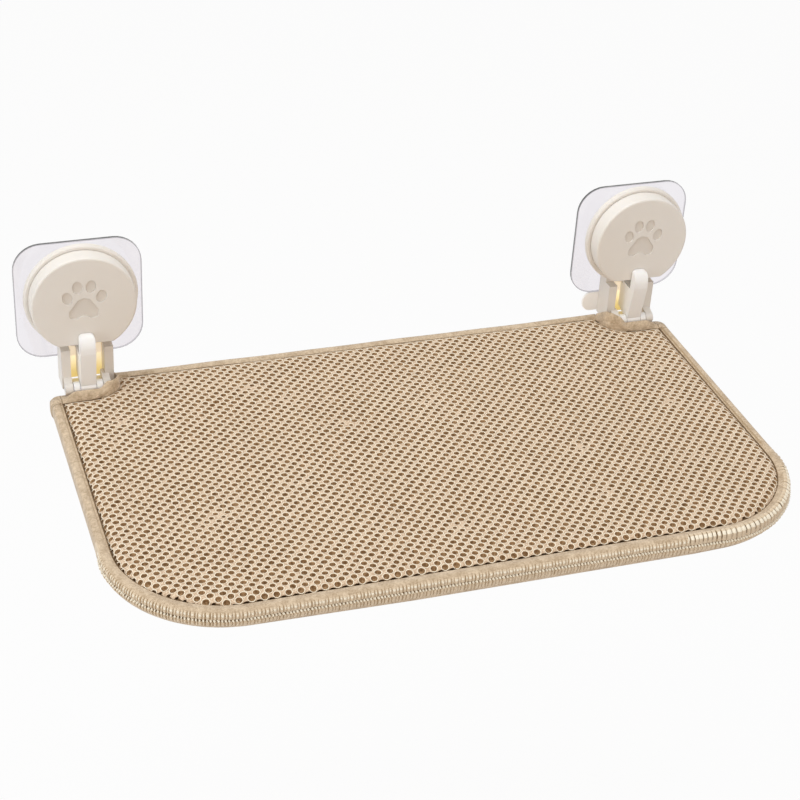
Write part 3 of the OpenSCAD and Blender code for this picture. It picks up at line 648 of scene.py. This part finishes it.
# Points round the tape: distance in from the bed's edge, height, and how far the upper ribs, the beads
# and the lower ribs raise it there.
TAPE_SECTION = [
    (9.9, -75.0, 0, 0, 0), (9.8, -73.4, 0, 0, 0), (9.4, -72.7, 0, 0, 0), (8.5, -72.1, 0, 0, 0),
    (7.5, -71.8, 0, 0, 0), (7.0, -71.6, 0, 0, 0), (6.4, -71.2, 0, 0, 0), (5.2, -70.9, 0, 0, 0),
    (3.8, -70.9, 0, 0, 0), (2.5, -71.4, 0, 0, 0), (1.6, -72.1, 0.6, 0, 0), (1.0, -72.8, 1.2, 0, 0),
    (0.7, -73.6, 1.1, 0, 0), (0.55, -74.4, 1.0, 0, 0), (0.45, -75.2, 0.9, 0, 0), (0.35, -76.0, 0.8, 0, 0),
    (0.3, -76.8, 0.5, 0, 0), (0.3, -77.0, 0, -0.4, 0), (0.3, -77.2, 0, 1.1, 0), (0.3, -77.9, 0, 1.9, 0),
    (0.3, -78.6, 0, 1.1, 0), (0.3, -78.9, 0, -0.4, 0), (0.35, -79.1, 0, 0, 0.9), (0.4, -80.2, 0, 0, 1.3),
    (0.6, -81.4, 0, 0, 1.0), (0.9, -82.8, 0, 0, 0.1), (1.2, -83.6, 0, 0, 0), (1.9, -84.8, 0, 0, 0),
    (3.1, -85.7, 0, 0, 0), (4.9, -86.3, 0, 0, 0), (7.0, -86.5, 0, 0, 0), (10.6, -86.5, 0, 0, 0),
    (10.6, -85.3, 0, 0, 0), (4.9, -84.9, 0, 0, 0), (2.7, -82.4, 0, 0, 0), (2.1, -78.2, 0, 0, 0),
    (2.7, -74.8, 0, 0, 0), (4.8, -72.8, 0, 0, 0), (7.0, -72.9, 0, 0, 0), (8.7, -73.6, 0, 0, 0),
    (9.2, -75.0, 0, 0, 0)]
# The same points by their number in the list: the seam, the crease beside it, the top that the ribs
# climb round the right corner, all ribs and beads, the upper ribs' crests, and the beads.
SEAM_ROWS = range(0, 3)
CREASE_ROW = 5
CROWN_ROWS = range(7, 14)
RIB_ROWS = range(10, 25)
CREST_ROWS = (11, 12)
BEAD_ROWS = range(17, 21)
# Along the middle of the front the tape hangs lower under its beads, by so much at the bottom.
FRONT_SAG = 2.4
SAG_TOP = -79.0
SAG_FULL = -84.5
# Round the right front corner the upper ribs are longer by so much, and climb so high on top.
CORNER_DROP = 1.6
CROWN_RISE = 1.3
# Along the front the tape reaches in over the knit by so much more.
TAPE_LIP = 0.9
# From the tape's ends, along it: where the ribs set in, and where they set in on top and are seen there.
RIBS_FROM = (188.0, 210.0)
CROWN_FROM = (208.0, 234.0)
CROWN_SEEN = 224.0
# Across the bed: where the right corner's longer ribs set in, and where the sag begins, is full and ends.
CORNER_FROM = (120.0, 190.0)
SAG_SPAN = (-190.0, -60.0, 155.0, 215.0)
# Towards the front: where the sag is found, and where the reach over the knit sets in.
SAG_FRONT_Y = -230.0
LIP_FROM = (250.0, 290.0)
BEAD_STEP = 2.5
RIB_STEP = 2.55
# Points along a side, round a front corner and along half the front.
SIDE_STEPS = 110
CORNER_STEPS = 380
FRONT_STEPS = 500
# Where the notch's tape covers the side's: the join across it, and the fold along it.
JOIN_Y = -40.5
JOIN_X = 255.5
FOLD_X = 257.2


def ribbed(along, seed, grown):
    """Height of the ribs at each place along the tape, from -0.3 between them to 1 on top of the tallest.
    A broad rib and a narrow one take turns. Where grown is 1 all are broad and stand wider apart."""
    steps = np.random.default_rng(seed)
    height = np.full(len(along), -0.3)
    place, broad = along.min(), True
    while place < along.max():
        share = np.interp(place, along, grown)
        width = (1.12 if broad else 0.84 + 0.28 * share) * steps.uniform(0.8, 1.15) * (1 + 0.6 * share)
        tall = (1.0 if broad else 0.7 + 0.3 * share) * steps.uniform(0.8, 1.15)
        round_top = np.sqrt(np.clip(1 - ((along - place) / width) ** 2, 0, 1))
        height = np.maximum(height, tall * round_top - 0.3 * (round_top == 0))
        place += (RIB_STEP + steps.uniform(-0.25, 0.25)) * (1 + 0.75 * share)
        broad = not broad
    return height


# The plain tape, its ribs, painted deep shade between the beads and along the seams, painted shade in
# the folds between ribs and in the crease, and pale beads with painted highlight, which the upper ribs'
# crests carry too: the mesh's five materials in this order.
tape_cloth = Finish("tape_cloth", Roughness=0.9, Sheen_Weight=0.3, Sheen_Roughness=0.5)
thread = tape_cloth.noise(620.0, 3.0)
heather = tape_cloth.noise(160.0, 3.0)
tape_x = abs(tape_cloth.split(tape_cloth.place(), 0))
tape_y = tape_cloth.split(tape_cloth.place(), 1)
# Painted shade darkens the tape along the join where the notch's tape covers the side's, and along its
# fold.
join_shade_line = 1 - abs(tape_y - JOIN_Y * MM).step(0.2 * MM, 0.6 * MM)
join_shade_line = join_shade_line * tape_x.step(JOIN_X * MM, (JOIN_X + 1.0) * MM)
fold_shade_line = 1 - abs(tape_x - FOLD_X * MM).step(0.2 * MM, 0.6 * MM)
fold_shade_line = fold_shade_line * tape_y.step(JOIN_Y * MM, (JOIN_Y + 0.5) * MM)
tape_mottle = heather.step(0.35, 0.65) * 0.5 + thread.step(0.35, 0.65) * 0.5
tape_tone = tape_cloth.mix(tape_mottle, shade(180, 156, 126), shade(219, 197, 168))
tape_cloth.set(Base_Color=tape_cloth.mix(join_shade_line.larger(fold_shade_line) * 0.7, tape_tone, shade(122, 96, 66)))
tape_cloth.bump(thread, 0.3)
rib_cloth = mottled("rib_cloth", 900.0, 2.0, 0.3, (203, 180, 149), (236, 217, 190),
                    Roughness=0.85, Sheen_Weight=0.3, Sheen_Roughness=0.5)
deep_painted_shade = mottled("deep_painted_shade", 700.0, 2.0, 0.2, (96, 74, 48), (140, 112, 78), Roughness=0.95)
fold_painted_shade = mottled("fold_painted_shade", 700.0, 2.0, 0.2, (168, 143, 110), (196, 173, 141), Roughness=0.95)
bead_and_crest_painted_highlight = mottled("bead_and_crest_painted_highlight", 1100.0, 2.0, 0.1, (240, 226, 200), (255, 247, 229),
                      Roughness=0.8, Sheen_Weight=0.25, Sheen_Roughness=0.5)
PLAIN, RIB, DEEP, FOLD, HIGHLIGHT = range(5)


def edge_line(inset):
    """The line of the side and front tape at one inset, from the right side's back end to the left's."""
    counts = (2, 2, 2, 2, 2, 2, SIDE_STEPS, CORNER_STEPS, FRONT_STEPS)
    right = np.concatenate(bed_edge(inset, counts)[6:])
    start = right[0] - (0, max(TAB_R - inset, SMALLEST_R) - TAB_R + inset)
    right[:SIDE_STEPS] = straight(start, right[SIDE_STEPS], SIDE_STEPS)
    return np.concatenate([right, right[::-1] * (-1, 1)])


def swept_tape(name, lines, slots, extra):
    """Closes a tape from its section's lines: lines[k] holds the points along section point k."""
    count, size = len(lines), len(lines[0])
    faces = lofted(count, size, False, True)
    faces.append(tuple(range(0, count * size, size)))
    faces.append(tuple(range(size - 1, count * size, size))[::-1])
    return mesh_piece(name, np.concatenate(lines), faces, tape_cloth, slots=[*slots, PLAIN, PLAIN],
                      extra=extra, closed=True)


outer_line = edge_line(0.0)
outer_x, outer_y = outer_line.T
outward = outer_line - edge_line(1.0)
along = np.concatenate([[0], np.cumsum(np.hypot(*np.diff(outer_line, axis=0).T))])
half_length = along[-1] / 2
from_end = half_length - abs(along - half_length)
rib_fade = np.interp(from_end, RIBS_FROM, (0, 1))
# Shares that are 1 round the right front corner, along the middle of the front, and along all of it.
corner_share = np.interp(outer_x, CORNER_FROM, (0, 1))
front_share = np.where(outer_y < SAG_FRONT_Y, np.interp(outer_x, SAG_SPAN, (0, 1, 1, 0)), 0)
lip_share = np.interp(-outer_y, LIP_FROM, (0, 1))
crown_share = corner_share * np.interp(from_end, CROWN_FROM, (0, 1))
upper_ribs = ribbed(along, 5, corner_share)
lower_ribs = ribbed(along + 0.9, 5, corner_share)
bead_sway = waves(np.column_stack([along, along * 0]), (23, 9), 5)
beads = np.sin(along * 2 * math.pi / BEAD_STEP + bead_sway)

tape_lines = []
for inset, z, upper, middle, lower in TAPE_SECTION:
    bead_rise = np.where(middle > 0, np.clip(beads + 0.2, -0.2, 1), 1) * middle
    rise = upper_ribs * upper + lower_ribs * lower + bead_rise
    lip = TAPE_LIP * (inset > 8 and z > -76) * lip_share
    line = edge_line(inset) + outward * (rise * rib_fade - lip)[:, None]
    on_top = np.interp(inset, (0.7, 1.6, 3.0, 5.2, 6.4), (0, 0.6, 1.0, 0.45, 0)) if z > -74 else 0
    crown = CROWN_RISE * on_top * (upper_ribs + 0.1) * crown_share + 0.2 * lip
    sink = (0.8 if inset in (7.0, 7.5) and z > -72 else 0) * (1 - rib_fade)
    sag = FRONT_SAG * np.interp(z, (SAG_FULL, SAG_TOP), (1, 0)) * front_share
    if inset > 9:
        sag = sag * 0.2
    stretch = CORNER_DROP * np.interp(z, (-85.0, -78.0, -73.0), (0, 1, 0)) * corner_share * (inset < 1.5)
    level = z - sink - sag - stretch + crown
    if inset > 6 and z > -76:
        beside_socket = (line[:, 1] < SOCKET_Y[0]) & (line[:, 1] > SOCKET_Y[1])
        level = np.where(beside_socket, np.maximum(level, SOCKET_TOP + 0.05), level)
    tape_lines.append(np.column_stack([line, level]))

ribs_begin = rib_fade[:-1] > 0.1
ribs_full = rib_fade[:-1] > 0.6
high_ribs, low_ribs = upper_ribs[:-1], lower_ribs[:-1]
on_corner = (corner_share[:-1] > 0.4) & (from_end[:-1] > CROWN_SEEN)
tape_slots = []
for k in range(len(TAPE_SECTION)):
    slot = np.full(len(along) - 1, PLAIN)
    if k in RIB_ROWS:
        ribs_here = high_ribs if k < BEAD_ROWS[0] else low_ribs
        slot[ribs_begin] = RIB
        # The upper ribs' crests are painted with the beads' pale colour as highlight.
        if k in CREST_ROWS:
            slot[ribs_full & (high_ribs > 0.55)] = HIGHLIGHT
        # Between the ribs the cloth is painted with the shade of the fold.
        slot[ribs_full & (ribs_here < -0.1)] = FOLD
    if k in BEAD_ROWS:
        edge_row = k in (BEAD_ROWS[0], BEAD_ROWS[-1])
        slot[ribs_full] = DEEP
        slot[ribs_full & (beads[:-1] > (0.2 if edge_row else -0.5))] = HIGHLIGHT
    # Round the right corner the ribs' tops on the crown are painted with highlight, and the gaps between
    # them with shade.
    if k in CROWN_ROWS:
        slot[on_corner & (high_ribs > 0.3)] = HIGHLIGHT if k in (9, 10) else RIB
        slot[on_corner & (high_ribs <= 0.3)] = FOLD if k == CROWN_ROWS[0] else DEEP
    # The crease beside the seam is painted with the same shade.
    if k == CREASE_ROW:
        slot[~ribs_begin] = FOLD
    # The rows along the seam are painted with deep shade.
    if k in SEAM_ROWS:
        slot[:] = DEEP
    tape_slots.extend(slot)
edge_tape = swept_tape("edge_tape", tape_lines, tape_slots,
                       (rib_cloth, deep_painted_shade, fold_painted_shade, bead_and_crest_painted_highlight))
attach(edge_tape, "bed")
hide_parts("edge_binding")


# A wider tape is turned over each notch, where the hinge comes through. It stands up in front of the
# knuckles, curls up over the end of the back tape, and covers the end of the side tape.

# Points round the tape: distance in from the notch's edge, where NOTCH_UNITS reach the seam, height,
# and its share of the lift.
NOTCH_UNITS = 13
NOTCH_SECTION = [
    (12.5, -75.4, 0.0), (12.4, -73.9, 0.0), (12.2, -73.0, 0.02), (12.0, -72.3, 0.05), (11.4, -71.9, 0.25),
    (10.5, -71.3, 0.6), (9.6, -70.7, 0.9), (8.8, -70.4, 1.0), (8.0, -70.6, 1.0), (7.4, -71.4, 0.8),
    (6.8, -72.0, 0.2), (4.0, -72.1, 0.0), (1.4, -72.5, 0.0), (-0.2, -74.4, 0.0), (-0.4, -78.4, 0.0),
    (-0.2, -82.4, 0.0), (2.0, -85.6, 0.0), (5.0, -86.7, 0.0), (13.4, -86.7, 0.0), (13.4, -85.6, 0.0),
    (4.8, -85.2, 0.0), (1.6, -82.2, 0.0), (1.4, -78.4, 0.0), (1.8, -74.8, 0.0), (4.4, -73.6, 0.0),
    (7.8, -73.4, 0.2), (9.0, -72.2, 0.85), (10.6, -73.4, 0.4), (11.9, -75.4, 0.0)]
# How far the tape stands up before the hinge, how much more before the inner ear, and how much more
# there at the right mount.
NOTCH_LIFT = 5.4
EAR_LIFT = 6.0
RIGHT_LIFT = 3.6
# Where the tape is highest, and how tightly it turns the notch's corner there.
CREST_UNIT = 8.8
CREST_R = 10.0
# Across the bed: where the tape rises before the arm, where before the inner ear, and the right mount's
# curl with half its width. Beside the inner leg the lift follows the distance from the window.
ARM_RISE = (245.0, 257.0)
EAR_RISE = (220.0, 227.0)
CURL_X = 213.0
CURL_HALF_W = 6.0
CURL_FROM = (10.0, 22.0)
LEG_REACH = (3, 12, 20, 27)
LEG_LIFT = (0.6, 3.6, 7.4, NOTCH_LIFT + EAR_LIFT)
TAIL_Y = -39.0
LAP_STEPS = 6


def notch_line(unit, upright=0.0):
    """The line of a notch's tape at one inset, from the back tape's end to the start of the side. Where the
    tape is upright it turns the notch's corner more tightly, to pass in front of the inner ear."""
    inset = unit * SEAM_INSET / NOTCH_UNITS
    tight = CREST_R + (unit - CREST_UNIT) * SEAM_INSET / NOTCH_UNITS
    hollow = (NOTCH_R + inset) * (1 - upright) + tight * upright
    runs = bed_edge(inset, (60, 10, 4, 40, 50, 14, 12, 2, 2), inset * NOTCH_BROAD / SEAM_INSET, hollow)
    back_end, corner_start = runs[0][-1:], runs[1][:1]
    lap = np.linspace(-6, 1, LAP_STEPS, endpoint=False)[:, None] * 0.3
    lap = back_end + (corner_start - back_end) * lap
    side_x, side_y = runs[6][0]
    tail = straight((side_x, side_y), (side_x, TAIL_Y), 10)
    return np.concatenate([lap, *runs[1:6], tail])


def eased(share):
    """Turns a straight rise from 0 to 1 into one with soft ends."""
    return share * share * (3 - 2 * share)


crest_x, crest_y = notch_line(CREST_UNIT, 1.0).T
before_arm = np.interp(crest_x, ARM_RISE, (1, 0))
before_ear = np.interp(crest_x, EAR_RISE, (1, 0))
lift = NOTCH_LIFT * eased(before_arm) + EAR_LIFT * eased(before_ear)
beside_leg = np.interp(-crest_y, LEG_REACH, LEG_LIFT)
lift = np.where(-crest_y < LEG_REACH[-1], np.minimum(lift, beside_leg), lift)
lift[:LAP_STEPS + 2] = np.linspace(0.1, 0.6, LAP_STEPS + 2)
right_curl = RIGHT_LIFT * np.exp(-((crest_x - CURL_X) / CURL_HALF_W) ** 2)
right_curl = right_curl * np.interp(-crest_y, CURL_FROM, (0, 1))
for side, sign, notch_lift in (("left", -1, lift), ("right", 1, lift + right_curl)):
    lines = []
    for unit, z, share in NOTCH_SECTION:
        upright = 1.0 if 6.5 < unit < 10.8 else 0.5 if 10.8 < unit < 11.6 else 0.0
        line = notch_line(unit, upright) * (sign, 1)
        lines.append(np.column_stack([line, z + share * notch_lift]))
    # The rows along the seam are painted with deep shade.
    row_slots = [DEEP, DEEP, DEEP] + [PLAIN] * (len(NOTCH_SECTION) - 3)
    notch_tape = swept_tape("notch_tape_" + side, lines, np.repeat(row_slots, len(lift) - 1),
                            (rib_cloth, deep_painted_shade))
    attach(notch_tape, "bed")
    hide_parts("notch_binding_" + side)
    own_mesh(notch_tape)


# Along the back a flat length of the same woven tape is folded over the edge and sewn down. It joins
# the two notches, and its ends lie under the notches' own tape.

BACK_SECTION = [
    (9.4, -75.0), (9.1, -73.4), (8.0, -72.2), (5.5, -71.4), (2.8, -71.2), (1.2, -71.8), (0.2, -73.6),
    (0, -78.4), (0.3, -82.6), (1.8, -85.4), (4.6, -86.4), (9.6, -86.4), (9.6, -85.2), (5.0, -85.0),
    (2.4, -82.0), (1.8, -78.4), (2.2, -74.6), (4.4, -73.0), (8.0, -74.4)]
BACK_HALF_W = 211.0
BACK_STEPS = 200
# Where the ends begin to rise towards the notches, and how much they do.
BACK_END_FROM = (175.0, 209.0)
BACK_END_RISE = 0.5

back_x = np.linspace(-BACK_HALF_W, BACK_HALF_W, BACK_STEPS)
back_rise = 0.25 * np.sin(back_x / 17) * np.sin(back_x / 41 + 1)
back_rise = back_rise + BACK_END_RISE * np.interp(abs(back_x), BACK_END_FROM, (0, 1)) ** 2
lines = []
for inset, z in BACK_SECTION:
    lines.append(np.column_stack([back_x, np.full(BACK_STEPS, BACK_Y - inset), z + back_rise]))
# The rows along the seam are painted with deep shade.
row_slots = [DEEP, DEEP] + [PLAIN] * (len(BACK_SECTION) - 2)
back_tape = swept_tape("back_tape", lines, np.repeat(row_slots, BACK_STEPS - 1), (rib_cloth, deep_painted_shade))
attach(back_tape, "bed")
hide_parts("back_binding")


# Underneath, a panel of plain woven cloth is stretched across the frame. Its edge is caught in the
# same seams as the tapes.

# Section of the panel's edge, from its upper side to the underside: distance in, and height.
PANEL_SECTION = [(9.4, -85.2), (9.4, -86.0), (14.0, -86.2), (22.0, -86.3), (34.0, -86.4)]
PANEL_COUNTS = (60, 4, 2, 10, 12, 4, 50, 40, 60)

panel_cloth = Finish("panel_cloth", Roughness=0.9)
panel_threads = []
for direction in ("X", "Y"):
    panel_threads.append(panel_cloth.node(
        "ShaderNodeTexWave", {"wave_type": "BANDS", "bands_direction": direction},
        {"Vector": panel_cloth.place(), "Scale": 320.0, "Distortion": 1.0}))
panel_weave = panel_threads[0] * panel_threads[1]
panel_mottle = panel_weave * 0.6 + panel_cloth.noise(40.0, 3.0) * 0.4
panel_cloth.set(Base_Color=panel_cloth.mix(panel_mottle, shade(170, 148, 116), shade(206, 186, 154)))
panel_cloth.bump(panel_weave, 0.2)
panel_lines = [whole_ring(inset, z, PANEL_COUNTS) for inset, z in PANEL_SECTION]
panel_size = len(panel_lines[0])
panel_faces = lofted(len(panel_lines), panel_size, True, False)
panel_faces.append(tuple(range(panel_size)))
panel_faces.append(tuple(range((len(panel_lines) - 1) * panel_size, len(panel_lines) * panel_size)))
base_panel = mesh_piece("base_panel", np.concatenate(panel_lines), panel_faces, panel_cloth, smooth=False,
                        closed=True)
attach(base_panel, "bed")
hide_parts("base_cloth")


# Studio: the perch hangs clear of a pale floor under one wide overhead softbox and even fill.
# The camera stands where the photograph was taken from.

CAMERA_PLACE = (-0.430608, -1.270068, 0.725101)
CAMERA_AZIMUTH = math.radians(-20.236)
CAMERA_ELEVATION = math.radians(32.49)
CAMERA_ROLL = math.radians(3.615)
FOCAL_PIXELS = 1858.1
PHOTO_PIXELS = 800
SENSOR = 36.0
FLOOR_Z = -620.0
FLOOR_HALF = 6000.0

camera_data = bpy.data.cameras.new("camera")
camera_data.sensor_width = SENSOR
camera_data.lens = FOCAL_PIXELS / PHOTO_PIXELS * SENSOR
camera_data.clip_start = 0.05
camera_data.clip_end = 30
camera = bpy.data.objects.new("camera", camera_data)
bpy.context.scene.collection.objects.link(camera)
bpy.context.scene.camera = camera
back = np.array([math.sin(CAMERA_AZIMUTH) * math.cos(CAMERA_ELEVATION),
                 -math.cos(CAMERA_AZIMUTH) * math.cos(CAMERA_ELEVATION), math.sin(CAMERA_ELEVATION)])
right = np.cross(-back, (0, 0, 1))
right /= np.linalg.norm(right)
up = np.cross(right, -back)
across = math.cos(CAMERA_ROLL) * right + math.sin(CAMERA_ROLL) * up
upward = -math.sin(CAMERA_ROLL) * right + math.cos(CAMERA_ROLL) * up
turned = Matrix(np.column_stack([across, upward, back]).tolist())
camera.matrix_world = Matrix.Translation(CAMERA_PLACE) @ turned.to_4x4()

# The camera, gloss and glass see the floor nearly white. For all other light it is a pale grey.
floor_finish = Finish("floor_finish", Roughness=0.9, Base_Color=(0.82, 0.82, 0.82, 1))
seen = floor_finish.node("ShaderNodeLightPath", output="Is Camera Ray")
for ray in ("Is Glossy Ray", "Is Transmission Ray"):
    seen = seen.larger(floor_finish.node("ShaderNodeLightPath", output=ray))
glow = floor_finish.node("ShaderNodeEmission", {}, {"Color": (1, 1, 1, 1), "Strength": 1.0})
matt = Wire(floor_finish, floor_finish.shader.outputs[0])
floor_shader = floor_finish.node("ShaderNodeMixShader", {}, {0: seen * 0.93, 1: matt, 2: glow})
floor_finish.tree.links.new(floor_shader.socket, floor_finish.output.inputs["Surface"])
floor_corners = [(x * FLOOR_HALF, y * FLOOR_HALF, FLOOR_Z) for x, y in ((-1, -1), (1, -1), (1, 1), (-1, 1))]
floor = mesh_piece("floor", floor_corners, [(0, 1, 2, 3)], floor_finish, smooth=False)

# The studio's walls look white in the same way, and give a weaker, slightly warm light.
world = bpy.data.worlds.new("studio")
bpy.context.scene.world = world
world.use_nodes = True
sky = world.node_tree
sky.nodes.clear()
sky_rays = sky.nodes.new("ShaderNodeLightPath")
camera_or_glass = sky.nodes.new("ShaderNodeMath")
camera_or_glass.operation = "MAXIMUM"
seen_sky = sky.nodes.new("ShaderNodeMath")
seen_sky.operation = "MAXIMUM"
dim = sky.nodes.new("ShaderNodeBackground")
dim.inputs["Color"].default_value = (1.0, 0.96, 0.935, 1)
dim.inputs["Strength"].default_value = 0.56
bright = sky.nodes.new("ShaderNodeBackground")
bright.inputs["Color"].default_value = (1, 1, 1, 1)
bright.inputs["Strength"].default_value = 1.0
dim_or_bright = sky.nodes.new("ShaderNodeMixShader")
sky_out = sky.nodes.new("ShaderNodeOutputWorld")
sky.links.new(sky_rays.outputs["Is Camera Ray"], camera_or_glass.inputs[0])
sky.links.new(sky_rays.outputs["Is Transmission Ray"], camera_or_glass.inputs[1])
sky.links.new(camera_or_glass.outputs[0], seen_sky.inputs[0])
sky.links.new(sky_rays.outputs["Is Glossy Ray"], seen_sky.inputs[1])
sky.links.new(seen_sky.outputs[0], dim_or_bright.inputs[0])
sky.links.new(dim.outputs[0], dim_or_bright.inputs[1])
sky.links.new(bright.outputs[0], dim_or_bright.inputs[2])
sky.links.new(dim_or_bright.outputs[0], sky_out.inputs["Surface"])


def softbox(name, place, aim, size, power, colour):
    data = bpy.data.lights.new(name, "AREA")
    data.shape = "SQUARE"
    data.size = size
    data.energy = power
    data.color = colour
    lamp = bpy.data.objects.new(name, data)
    bpy.context.scene.collection.objects.link(lamp)
    lamp.location = place
    lamp.rotation_mode = "QUATERNION"
    lamp.rotation_quaternion = (Vector(aim) - Vector(place)).to_track_quat("-Z", "Y")


softbox("overhead", (-0.2, -0.15, 1.5), (0, -0.12, -0.07), 1.3, 15.0, (0.91, 0.965, 1.0))
softbox("left_fill", (-4.0, -1.0, 0.8), (0, -0.1, -0.05), 3.0, 50.0, (0.92, 0.97, 1.0))
softbox("front_fill", (0.6, -4.0, 0.6), (0, -0.1, -0.05), 3.0, 22.0, (1.0, 0.87, 0.74))

bpy.context.scene.view_settings.view_transform = "Standard"
